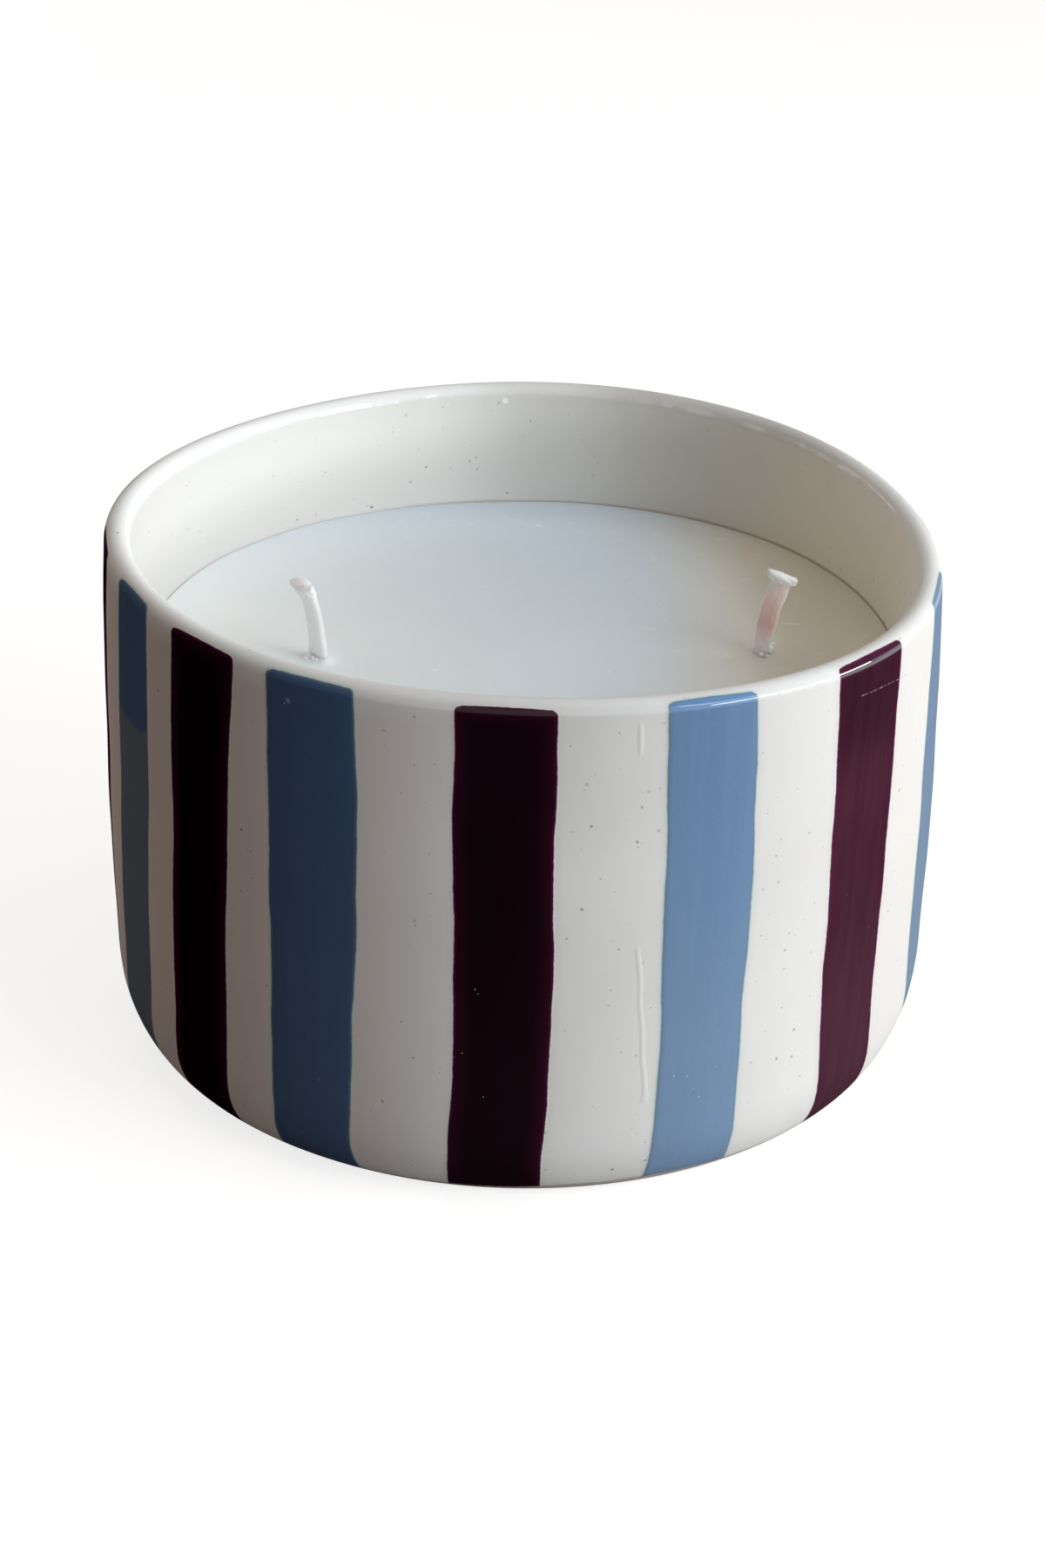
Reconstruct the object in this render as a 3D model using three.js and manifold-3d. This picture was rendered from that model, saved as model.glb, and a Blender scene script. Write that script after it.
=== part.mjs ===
// A two-wick candle poured into a hand-painted glazed bowl. Sizes are in millimetres, +Z is up, and
// the origin is the centre of the foot, on the surface that the bowl stands on. -Y faces the viewer.
import * as THREE from "three";
import { mergeVertices } from "three/addons/utils/BufferGeometryUtils.js";
import Module from "manifold-3d";

const wasm = await Module();
wasm.setup();

// Bowl, outside: the radius at the rim, how far the sides swell below it and draw in at the heel
const bowlHeight = 95.5;
const rimRadius = 75;
const bellySwell = 1.2;
const bellyHeight = 44;
const heelDraw = 0.4;
const heelHeight = 15;
const heelInset = 8.3;
const footRingWidth = 6;
const footRecessDepth = 1.2;

// Bowl, walls
const rimThickness = 4.6;
const wallThickness = 7.6;
const innerCornerRadius = 14;
const floorThickness = 8;

// Wax
const waxBelowRim = 23.5;
const meniscusHeight = 1.1;
const meniscusWidth = 3.2;

// Wicks, flat braided cotton
const wickWidth = 3.5;
const wickThickness = 1.5;

// Left wick: its place, and the height, lean and hooked tip of the stub that stands out of the wax
const leftWickFromWall = 31.6;
const leftWickForward = 8.2;
const leftStubHeight = 15;
const leftStubLean = 2.4;
const leftTipHook = 1.1;
const leftTurnDegrees = -48;

// Right wick, the same
const rightWickFromWall = 24.9;
const rightWickForward = 1.6;
const rightStubHeight = 15.6;
const rightStubLean = 2.4;
const rightTipHook = 0.2;
const rightTurnDegrees = -8;

// Sustainers, stamped tinned steel, each on a round adhesive pad
const sustainerRadius = 10;
const sustainerPlate = 0.5;
const sustainerNeckHeight = 6;
const sustainerNeckWall = 0.5;
const stickerRadius = 9;
const stickerThickness = 1;

// Clearances: wax to what it is cast round, neck to wick, wax edge to the flare of the wall above it
const castGap = 0.3;
const neckGap = 0.1;
const flareGap = 1.5;

// How far a cutting solid runs past the face that it cuts, and how late a wick's tip hooks over
const cutPast = 1;
const hookPower = 6;

// Facets round a full turn, points on each curve of a profile and steps along a stub
const bowlFacets = 64;
const diskFacets = 32;
const curvePoints = 4;
const stubSteps = 10;

// What follows from the driving sizes
const bellyRadius = rimRadius + bellySwell;
const heelRadius = bellyRadius - heelDraw;
const footRadius = heelRadius - heelInset;
const innerRadius = heelRadius - wallThickness;
const waxHeight = bowlHeight - waxBelowRim;
const sustainerBottom = floorThickness + stickerThickness;
const neckTop = sustainerBottom + sustainerNeckHeight;

const wicks = [
  {
    side: "left",
    x: -(innerRadius - leftWickFromWall),
    y: -leftWickForward,
    stub: leftStubHeight,
    lean: -leftStubLean,
    hook: -leftTipHook,
    turn: leftTurnDegrees,
  },
  {
    side: "right",
    x: innerRadius - rightWickFromWall,
    y: -rightWickForward,
    stub: rightStubHeight,
    lean: rightStubLean,
    hook: rightTipHook,
    turn: rightTurnDegrees,
  },
];

const materials = {
  glaze: new THREE.MeshStandardMaterial({ color: 0xe9e6dc, roughness: 0.18, metalness: 0 }),
  wax: new THREE.MeshStandardMaterial({ color: 0xdfe5e6, roughness: 0.5, metalness: 0 }),
  cotton: new THREE.MeshStandardMaterial({ color: 0xe4dfe6, roughness: 0.9, metalness: 0 }),
  tin: new THREE.MeshStandardMaterial({ color: 0xb9bcc0, roughness: 0.35, metalness: 1 }),
  foam: new THREE.MeshStandardMaterial({ color: 0xf2f1ec, roughness: 0.8, metalness: 0 }),
};

// Turns a profile of [radius, height] points, listed from the underside outwards and up, round Z.
function turned(points, facets) {
  const profile = points.map((point) => new THREE.Vector2(point.x, point.y));
  return new THREE.LatheGeometry(profile, facets).rotateX(Math.PI / 2);
}

// A solid for boolean work, from a closed geometry.
function solidOf(geometry) {
  const bare = geometry.clone();
  bare.deleteAttribute("normal");
  bare.deleteAttribute("uv");
  const merged = mergeVertices(bare, 1e-4);
  return new wasm.Manifold(
    new wasm.Mesh({
      numProp: 3,
      vertProperties: merged.attributes.position.array,
      triVerts: new Uint32Array(merged.index.array),
    }),
  );
}

function geometryOf(solid) {
  const mesh = solid.getMesh();
  const geometry = new THREE.BufferGeometry();
  geometry.setAttribute("position", new THREE.BufferAttribute(mesh.vertProperties, 3));
  geometry.setIndex(new THREE.BufferAttribute(mesh.triVerts, 1));
  geometry.computeVertexNormals();
  return geometry;
}

// The bowl's inner face, from the centre of the floor up the wall, drawn in by a gap.
function drawInnerFace(path, gap) {
  const corner = innerCornerRadius - gap;
  path.lineTo(innerRadius - innerCornerRadius, floorThickness + gap);
  path.absarc(
    innerRadius - innerCornerRadius,
    floorThickness + innerCornerRadius,
    corner,
    -Math.PI / 2,
    0,
    false,
  );
}

// The bowl: a flat foot ring, a rounded heel, nearly straight sides and a fully rounded rim.
function makeBowl() {
  const rimHalf = rimThickness / 2;
  const rimCentre = bowlHeight - rimHalf;
  const flareHeight = waxHeight + meniscusHeight + flareGap;

  const outside = new THREE.Path();
  outside.moveTo(0, footRecessDepth);
  outside.lineTo(footRadius - footRingWidth - footRecessDepth, footRecessDepth);
  outside.lineTo(footRadius - footRingWidth, 0);
  outside.lineTo(footRadius, 0);
  outside.absellipse(
    footRadius,
    heelHeight,
    heelRadius - footRadius,
    heelHeight,
    -Math.PI / 2,
    0,
    false,
    0,
  );
  outside.splineThru([
    new THREE.Vector2(bellyRadius, bellyHeight),
    new THREE.Vector2(rimRadius, rimCentre),
  ]);
  outside.absarc(rimRadius - rimHalf, rimCentre, rimHalf, 0, Math.PI, false);

  const inside = new THREE.Path();
  inside.moveTo(0, floorThickness);
  drawInnerFace(inside, 0);
  inside.lineTo(innerRadius, flareHeight);
  inside.lineTo(rimRadius - rimThickness, rimCentre);

  const outer = outside.getPoints(curvePoints);
  const inner = inside.getPoints(curvePoints).reverse();
  return turned([...outer, ...inner.slice(1)], bowlFacets);
}

// The section of a wick, a flat strip with round edges, grown on every side.
function wickSection(grow, turn) {
  const half = (wickWidth - wickThickness) / 2;
  const radius = wickThickness / 2 + grow;
  const quarter = Math.PI / 2;
  const angle = THREE.MathUtils.degToRad(turn);
  const dx = half * Math.cos(angle);
  const dy = half * Math.sin(angle);
  const section = new THREE.Shape();
  section.absarc(dx, dy, radius, angle - quarter, angle + quarter, false);
  section.absarc(-dx, -dy, radius, angle + quarter, angle + 3 * quarter, false);
  return section;
}

function wickPost(wick, grow, bottom, top, steps = 1) {
  const options = { depth: top - bottom, steps, bevelEnabled: false, curveSegments: 3 };
  const post = new THREE.ExtrudeGeometry(wickSection(grow, wick.turn), options);
  return post.translate(0, 0, bottom);
}

// A wick runs straight up through the wax. Above it the stub leans, and its tip hooks over.
// The post starts as one level for the buried length and one for each step of the stub.
function makeWick(wick) {
  const geometry = wickPost(wick, 0, -1, stubSteps, stubSteps + 1);
  const position = geometry.attributes.position;
  for (let i = 0; i < position.count; i++) {
    const level = Math.round(position.getZ(i));
    const rise = Math.max(0, level / stubSteps);
    const shift = wick.lean * rise + wick.hook * rise ** hookPower;
    position.setX(i, position.getX(i) + shift);
    position.setZ(i, level < 0 ? sustainerBottom : waxHeight + wick.stub * rise);
  }
  geometry.computeVertexNormals();
  return geometry;
}

// A sustainer is a thin plate with a short neck that the wick is crimped into.
function makeSustainer(wick) {
  const plate = new THREE.CylinderGeometry(
    sustainerRadius,
    sustainerRadius,
    sustainerPlate,
    diskFacets,
  );
  plate.rotateX(Math.PI / 2).translate(0, 0, sustainerBottom + sustainerPlate / 2);
  const neckGrow = neckGap + sustainerNeckWall;
  const neck = wickPost(wick, neckGrow, sustainerBottom, neckTop);
  const bore = wickPost(wick, neckGap, sustainerBottom - cutPast, neckTop + cutPast);
  return geometryOf(solidOf(plate).add(solidOf(neck)).subtract(solidOf(bore)));
}

function makeSticker() {
  const pad = new THREE.CylinderGeometry(
    stickerRadius,
    stickerRadius,
    stickerThickness,
    diskFacets,
  );
  return pad.rotateX(Math.PI / 2).translate(0, 0, floorThickness + stickerThickness / 2);
}

// The room that the wax leaves for a wick, its sustainer and its sticker.
function wickRoom(wick) {
  const plateTop = sustainerBottom + sustainerPlate + castGap;
  const roomRadius = Math.max(sustainerRadius, stickerRadius) + castGap;
  const depth = plateTop - floorThickness;
  const well = new THREE.CylinderGeometry(roomRadius, roomRadius, depth, diskFacets);
  well.rotateX(Math.PI / 2).translate(0, 0, plateTop - depth / 2);
  const neckGrow = neckGap + sustainerNeckWall + castGap;
  const neck = wickPost(wick, neckGrow, floorThickness, neckTop + castGap);
  const bore = wickPost(wick, castGap, floorThickness, waxHeight + cutPast);
  return solidOf(well).add(solidOf(neck)).add(solidOf(bore)).translate(wick.x, wick.y, 0);
}

// The wax fills the bowl a cast gap inside its walls, and climbs a little where it meets them.
function makeWax() {
  const edge = innerRadius - castGap;
  const outline = new THREE.Path();
  outline.moveTo(0, floorThickness + castGap);
  drawInnerFace(outline, castGap);
  outline.lineTo(edge, waxHeight + meniscusHeight);
  outline.quadraticCurveTo(edge - meniscusWidth / 4, waxHeight, edge - meniscusWidth, waxHeight);
  outline.lineTo(0, waxHeight);
  let solid = solidOf(turned(outline.getPoints(curvePoints), bowlFacets));
  for (const wick of wicks) solid = solid.subtract(wickRoom(wick));
  return geometryOf(solid);
}

const candle = new THREE.Group();

function place(name, geometry, material, x = 0, y = 0) {
  const mesh = new THREE.Mesh(geometry, material);
  mesh.name = name;
  mesh.position.set(x, y, 0);
  candle.add(mesh);
}

place("ceramic_bowl", makeBowl(), materials.glaze);
place("wax_fill", makeWax(), materials.wax);
for (const wick of wicks) {
  place(`${wick.side}_wick`, makeWick(wick), materials.cotton, wick.x, wick.y);
  place(`${wick.side}_wick_sustainer`, makeSustainer(wick), materials.tin, wick.x, wick.y);
  place(`${wick.side}_wick_sticker`, makeSticker(), materials.foam, wick.x, wick.y);
}

export default candle;
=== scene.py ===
from math import cos, radians, sin

import bpy
import numpy as np
from mathutils import Matrix, Vector


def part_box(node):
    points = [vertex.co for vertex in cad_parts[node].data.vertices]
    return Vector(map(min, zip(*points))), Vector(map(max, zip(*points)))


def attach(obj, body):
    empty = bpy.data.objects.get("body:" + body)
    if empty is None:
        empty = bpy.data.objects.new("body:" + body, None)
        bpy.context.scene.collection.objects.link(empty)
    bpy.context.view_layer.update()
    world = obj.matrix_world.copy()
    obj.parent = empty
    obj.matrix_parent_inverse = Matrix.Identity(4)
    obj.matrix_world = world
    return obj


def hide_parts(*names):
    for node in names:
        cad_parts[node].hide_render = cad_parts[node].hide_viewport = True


# Two-wick candle in a hand-painted striped bowl. Metres, +Z up, -Y towards the viewer.
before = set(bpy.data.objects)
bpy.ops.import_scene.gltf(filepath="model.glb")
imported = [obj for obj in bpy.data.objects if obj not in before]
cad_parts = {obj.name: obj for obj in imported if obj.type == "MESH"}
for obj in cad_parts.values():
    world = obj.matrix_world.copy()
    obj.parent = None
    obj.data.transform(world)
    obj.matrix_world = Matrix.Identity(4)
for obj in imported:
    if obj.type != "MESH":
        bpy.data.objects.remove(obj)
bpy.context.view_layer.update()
mm = 0.001


# A Math operation as an operator of a wire, and its reflected form.
def bothWays(operation):
    def plain(wire, other):
        return wire.maths(operation, wire, other)

    def reflected(wire, other):
        return wire.maths(operation, other, wire)

    return plain, reflected


# Shader maths: a wire is one socket, and an expression on wires adds Math nodes.
class Wire:
    def __init__(self, tree, socket):
        self.tree = tree
        self.socket = socket

    def maths(self, operation, first, second=0.0):
        return self.node("ShaderNodeMath", {"operation": operation}, {0: first, 1: second})

    def __abs__(self):
        return self.maths("ABSOLUTE", self)

    __add__, __radd__ = bothWays("ADD")
    __sub__, __rsub__ = bothWays("SUBTRACT")
    __mul__, __rmul__ = bothWays("MULTIPLY")
    __truediv__, __rtruediv__ = bothWays("DIVIDE")

    # Any other node: its type, then its settings, then what its sockets get.
    def node(self, kind, settings=None, sockets=None, out=0):
        made = self.tree.nodes.new(kind)
        for key, value in (settings or {}).items():
            if key == "stops":
                fillRamp(made.color_ramp, value)
            else:
                setattr(made, key, value)
        feed(made, sockets or {})
        return Wire(self.tree, made.outputs[out])


def fillRamp(ramp, stops):
    while len(ramp.elements) < len(stops):
        ramp.elements.new(1.0)
    for element, (place, colour) in zip(ramp.elements, stops):
        element.position = place
        element.color = (*colour, 1)


# Gives sockets what they get: a wire is linked, and a number or colour, of three numbers, is set.
def feed(node, sockets):
    for key, value in sockets.items():
        target = node.inputs[key]
        if isinstance(value, Wire):
            value.tree.links.new(value.socket, target)
        else:
            target.default_value = (*value, 1) if target.type == "RGBA" else value


# A new material, its shader node, and the place of a point on its own object in metres, from which
# expressions start.
def startMaterial(name):
    material = bpy.data.materials.new(name)
    material.use_nodes = True
    tree = material.node_tree
    shader = next(n for n in tree.nodes if n.type == "BSDF_PRINCIPLED")
    return material, shader, Wire(tree, shader.outputs[0]).node("ShaderNodeTexCoord", out=3)


# The place as three numbers, in millimetres.
def objectAxes(place):
    return [place.node("ShaderNodeSeparateXYZ", {}, {0: place}, out=k) / mm for k in range(3)]


# Colour between low and high by amount.
def blend(amount, low, high):
    settings = {"data_type": "RGBA"}
    return amount.node("ShaderNodeMix", settings, {0: amount, 6: low, 7: high}, out=2)


# 0 below low, 1 above high, smooth between; works either way round.
def smooth(value, low, high):
    settings = {"interpolation_type": "SMOOTHSTEP"}
    return value.node("ShaderNodeMapRange", settings, {0: value, 1: low, 2: high})


# A colour drawn towards another, by share at most, as a value goes from low to high.
def shade(colour, towards, value, low, high, share=1.0):
    return blend(smooth(value, low, high) * share, colour, towards)


def bump(height, strength, distance):
    sockets = {"Strength": strength, "Distance": distance, "Height": height}
    return height.node("ShaderNodeBump", {}, sockets)


def noise(place, scale, detail=3.0, roughness=0.55):
    sockets = {"Vector": place, "Scale": scale, "Detail": detail, "Roughness": roughness}
    return place.node("ShaderNodeTexNoise", {}, sockets)


def stretched(place, factors):
    settings = {"operation": "MULTIPLY"}
    return place.node("ShaderNodeVectorMath", settings, {0: place, 1: factors})


def attribute(place, name):
    return place.node("ShaderNodeAttribute", {"attribute_name": name}, out=2)


# Dots in a share of the cells of a pattern, each as large and as strong as its cell says. Cell and
# radius are in millimetres.
def specks(place, cell, radius, share):
    sockets = {"Vector": place, "Scale": 1 / (cell * mm)}
    far = place.node("ShaderNodeTexVoronoi", {"feature": "F1"}, sockets)
    tint = place.node("ShaderNodeTexVoronoi", {"feature": "F1"}, sockets, out=1)
    split = [place.node("ShaderNodeSeparateColor", {}, {0: tint}, out=k) for k in range(3)]
    pick, size, strength = split
    chosen = pick.maths("LESS_THAN", pick, share)
    reach = (size * 0.6 + 0.4) * (radius / cell)
    return chosen * smooth(far / reach, 1.0, 0.45) * (strength * 0.65 + 0.35)


def addObject(name, data):
    made = bpy.data.objects.new(name, data)
    bpy.context.collection.objects.link(made)
    return made


# Faces of one length, from arrays that hold the numbers of their corners.
def faces(*corners):
    return np.stack(corners, axis=-1).reshape(-1, len(corners))


# Closed surfaces in one mesh. Each grid holds points[piece, row, column, xyz]: the rows run along
# the piece, the columns go round it and meet, and each end row closes on one point, its mean.
# A layer gives each point of its grid a value.
def addSurfaces(name, grids, layers=None):
    points = []
    blocks = []
    values = {key: [] for key in (layers or {})}
    offset = 0
    for number, grid in enumerate(grids):
        pieces, rows, columns = grid.shape[:3]
        ends = np.stack([grid[:, 0].mean(1), grid[:, -1].mean(1)], axis=1)
        points += [grid.reshape(-1, 3), ends.reshape(-1, 3)]
        index = offset + np.arange(pieces * rows * columns).reshape(pieces, rows, columns)
        beside = np.roll(index, -1, axis=2)
        caps = offset + pieces * rows * columns + np.arange(pieces * 2).reshape(pieces, 2, 1)
        low = np.broadcast_to(caps[:, 0], (pieces, columns))
        high = np.broadcast_to(caps[:, 1], (pieces, columns))
        blocks.append(faces(index[:, :-1], beside[:, :-1], beside[:, 1:], index[:, 1:]))
        blocks.append(faces(low, beside[:, 0], index[:, 0]))
        blocks.append(faces(high, index[:, -1], beside[:, -1]))
        for key in values:
            layer = np.broadcast_to(layers[key][number], (pieces, rows, columns))
            values[key] += [layer.ravel(), layer[:, [0, -1]].mean(2).ravel()]
        offset += pieces * (rows * columns + 2)
    joined = {key: np.concatenate(parts) for key, parts in values.items()}
    return addMesh(name, np.vstack(points), blocks, joined)


# Puts points and blocks of faces of one length each into a mesh, smooth. The signed volume says
# whether the faces point out, and they are turned round if not.
def addMesh(name, points, blocks, values):
    fans = [b[:, [0, k, k + 1]] for b in blocks for k in range(1, b.shape[1] - 1)]
    corners = points[np.vstack(fans)]
    volume = np.einsum("ij,ij->i", corners[:, 0], np.cross(corners[:, 1], corners[:, 2])).sum()
    if volume < 0:
        blocks = [b[:, ::-1] for b in blocks]
    sizes = np.concatenate([np.full(len(b), b.shape[1]) for b in blocks])
    loops = np.concatenate([b.ravel() for b in blocks]).astype(np.int32)
    mesh = bpy.data.meshes.new(name)
    mesh.vertices.add(len(points))
    mesh.vertices.foreach_set("co", points.astype(np.float32).ravel())
    mesh.loops.add(len(loops))
    mesh.loops.foreach_set("vertex_index", loops)
    mesh.polygons.add(len(sizes))
    mesh.polygons.foreach_set("loop_start", (np.cumsum(sizes) - sizes).astype(np.int32))
    mesh.polygons.foreach_set("loop_total", sizes.astype(np.int32))
    mesh.polygons.foreach_set("use_smooth", np.ones(len(sizes), dtype=bool))
    for key, layer in values.items():
        mesh.attributes.new(key, "FLOAT", "POINT").data.foreach_set("value", layer.astype(np.float32))
    mesh.update(calc_edges=True)
    mesh.validate()
    return addObject(name, mesh)


# A section [radius, height] turned round the Z axis: radius, height and angle on one grid.
def turnedGrid(section, columns):
    angle = np.linspace(0, 2 * np.pi, columns, endpoint=False)
    return np.broadcast_arrays(section[:, :1], section[:, 1:], angle[None, :])


# Points from radius, angle and height: x = radius * cos(angle), y = radius * sin(angle).
def fromRound(radius, angle, height):
    return np.stack([radius * np.cos(angle), radius * np.sin(angle), height], axis=-1)


print("tools ready")


# Camera: fitted to the bowl's outline, the front of its rim and the edge of the wax.
camera = {
    "distance": 0.6106,
    "elevation": 30.87,
    "aimRight": 0.033,
    "aimUp": 3.617,
    "roll": 1.37,
    "lens": 72.59,
}


# It stands back along its own axis, aims a little aside and up, and rolls.
def addCamera():
    data = bpy.data.cameras.new("camera")
    data.lens = camera["lens"]
    data.clip_start = 0.01
    made = addObject("camera", data)
    made.matrix_world = (
        Matrix.Rotation(radians(90 - camera["elevation"]), 4, "X")
        @ Matrix.Translation((0, 0, camera["distance"]))
        @ Matrix.Rotation(radians(-camera["aimRight"]), 4, "Y")
        @ Matrix.Rotation(radians(camera["aimUp"]), 4, "X")
        @ Matrix.Rotation(radians(camera["roll"]), 4, "Z")
    )
    bpy.context.scene.camera = made


addCamera()
print("camera set")


# Bowl: the section is drawn in millimetres as [radius, height], from under the middle of the foot,
# out over the heel, up the side, over the rim and down inside to the middle of the floor.
bowl = {
    "height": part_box("ceramic_bowl")[1].z / mm,
    "rimRadius": 75.0,
    "bellyRadius": 76.0,
    "bellyHeight": 44.0,
    "heelRadius": 75.5,
    "heelHeight": 16.0,
    "footRadius": 67.7,
    "footRing": 6.0,
    "recess": 1.2,
    "rimThickness": 4.6,
    "innerRadius": 68.2,
    "flareStart": 74.0,
    "innerCorner": 14.0,
    "floor": 8.0,
    "glazeLine": 1.7,
    "columns": 480,
}

# The bowl is hand made. Each wave is how many times it repeats round the bowl, its size in
# millimetres and the angle of its crest in degrees. A throwing mark is its size, its length up the
# side, how many times it winds round and its phase.
bowlWaves = {
    "rimOut": ((1, 0.34, -6), (2, 0.71, -38), (3, 1.3, -55), (4, 0.7, -43)),
    "rimUp": ((1, 0.5, -168), (2, 0.22, -71), (3, 0.55, -45), (4, 0.2, 10)),
    "baseOut": ((2, 0.54, 24), (3, 0.5, 16)),
    "glazeLine": ((2, 0.55, -72), (7, 0.25, -72), (19, 0.08, 10)),
    "throwing": ((0.06, 37.0, 2, 0.4), (0.03, 19.0, -3, 2.1)),
}


# Points centre + (radii[0] cos a, radii[1] sin a), with a from start to end in degrees.
def ellipse(centre, radii, start, end, count):
    a = np.radians(np.linspace(start, end, count))
    return np.stack([centre[0] + radii[0] * np.cos(a), centre[1] + radii[1] * np.sin(a)], axis=1)


def straight(start, end, count):
    t = np.linspace(0, 1, count)[:, None]
    return np.array(start) * (1 - t) + np.array(end) * t


# Averages each point with its neighbours, (1, 2, 1) / 4, between two rows.
def softened(section, passes, first, last):
    section = section.copy()
    for _ in range(passes):
        beside = section[first - 1 : last - 1] + section[first + 1 : last + 1]
        section[first:last] = (beside + 2 * section[first:last]) / 4
    return section


# The side is the parabola through the heel, the belly and the rim.
def bowlSection():
    b = bowl
    half = b["rimThickness"] / 2
    rimTop = b["height"] - half
    ringInner = b["footRadius"] - b["footRing"]
    knots = [b["heelHeight"], b["bellyHeight"], rimTop]
    side = np.polyfit(knots, [b["heelRadius"], b["bellyRadius"], b["rimRadius"]], 2)
    sideHeights = np.linspace(b["heelHeight"], rimTop, 66)[1:-1]
    mouth = b["rimRadius"] - b["rimThickness"] - 0.1
    corner = b["innerRadius"] - b["innerCorner"]
    cornerHeight = b["floor"] + b["innerCorner"]
    heelRadii = (b["heelRadius"] - b["footRadius"], b["heelHeight"])
    parts = [
        straight((1.5, b["recess"]), (ringInner - 2.2, b["recess"]), 14),
        ellipse((ringInner - 1.2, 0.7), (1.0, 0.5), 150, 90, 3),
        straight((ringInner, 0.35), (ringInner + 0.5, 0.02), 3),
        straight((ringInner + 1.0, 0), (b["footRadius"] - 0.5, 0), 6),
        ellipse((b["footRadius"], b["heelHeight"]), heelRadii, -88, 0, 26),
        np.stack([np.polyval(side, sideHeights), sideHeights], axis=1),
        ellipse((b["rimRadius"] - half, rimTop), (half, half), 0, 180, 21),
        straight((mouth, rimTop - 0.8), (b["innerRadius"], b["flareStart"]), 20),
        straight((b["innerRadius"], b["flareStart"] - 3), (b["innerRadius"], cornerHeight), 8),
        ellipse((corner, cornerHeight), (b["innerCorner"], b["innerCorner"]), 0, -90, 9)[1:],
        straight((corner - 4, b["floor"]), (2, b["floor"]), 8),
    ]
    section = np.vstack(parts)
    heelStart = sum(len(p) for p in parts[:4])
    rimStart = sum(len(p) for p in parts[:6])
    rimEnd = rimStart + len(parts[6])
    section = softened(section, 12, heelStart + 20, rimStart - 1)
    return softened(section, 6, rimEnd + 2, rimEnd + 24)


def waveSum(waves, angle):
    return sum(size * np.cos(times * (angle - radians(crest))) for times, size, crest in waves)


# Moves points of the true round bowl to the hand-made one, in millimetres. The radius takes the
# rim waves times t squared and the base waves times 1 - t, where t is the height over the bowl's
# height. The height takes the rim's lift times t cubed, and the throwing marks are slow ripples.
def handMade(radius, height, angle):
    t = np.clip(height / bowl["height"], 0, 1)
    free = np.clip(height / bowl["heelHeight"], 0, 1)
    out = waveSum(bowlWaves["rimOut"], angle) * t**2
    out = out + waveSum(bowlWaves["baseOut"], angle) * (1 - t) * free
    for size, length, times, phase in bowlWaves["throwing"]:
        out = out + size * free * np.sin(2 * np.pi * height / length + times * angle + phase)
    share = np.clip(radius / bowl["innerRadius"], 0, 1) ** 4
    up = waveSum(bowlWaves["rimUp"], angle) * t**3
    return radius + out * share, height + up * share


# Stripes, as the brush laid them, aubergine and blue in turn. Each has its middle in degrees round
# the bowl at mid height, how far the middle has moved at the top and at the foot, its width at the
# top and at the foot and how much nearer the crown of the rim it starts, in millimetres, and how
# pale its colour came out, which on the stripes in front is also painted light and shade: low on
# the shaded left, high on the lit right, and highest on the aubergine at -40.3 degrees for a
# painted sheen. The waves of an edge have these lengths and shares of the wobble.
stripes = {
    "laid": (
        (-172.0, 0.4, -0.8, 14.5, 14.2, 0.0, 0.9),
        (-153.2, -0.3, -2.7, 13.2, 14.8, 0.0, 0.54),
        (-136.0, -0.1, -1.1, 15.4, 14.6, 0.0, 0.38),
        (-116.9, -1.5, -0.5, 17.1, 15.9, 0.0, 0.43),
        (-91.7, -0.5, -0.3, 16.9, 16.2, 0.25, 0.47),
        (-65.5, -1.1, 0.3, 15.2, 16.0, 0.8, 1.15),
        (-40.3, -1.8, 2.4, 17.0, 16.1, 1.0, 1.5),
        (-15.6, -0.7, 3.7, 16.0, 15.6, 0.5, 0.95),
        (7.0, 0.9, 1.6, 15.0, 16.2, 0.0, 1.2),
        (29.5, -0.6, 0.8, 16.5, 15.4, 0.0, 1.0),
        (52.0, 0.7, -1.0, 14.6, 15.3, 0.0, 0.9),
        (75.0, -1.0, 0.5, 16.2, 16.8, 0.0, 0.9),
        (98.0, 0.3, -1.4, 15.4, 14.9, 0.0, 1.1),
        (120.5, 1.1, 0.6, 15.8, 16.4, 0.0, 1.05),
        (143.0, -0.5, 1.2, 16.3, 15.2, 0.0, 0.9),
        (165.5, 0.8, -0.7, 14.8, 15.7, 0.0, 0.85),
    ),
    "midHeight": 55.0,
    "halfSpan": 35.0,
    "startAngle": 47.0,
    "endHeight": 0.3,
    "corner": 0.9,
    "wobble": 0.22,
    "waveLengths": (74.0, 33.0, 15.0, 6.0),
    "waveShares": (1.0, 0.5, 0.22, 0.1),
}
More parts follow.
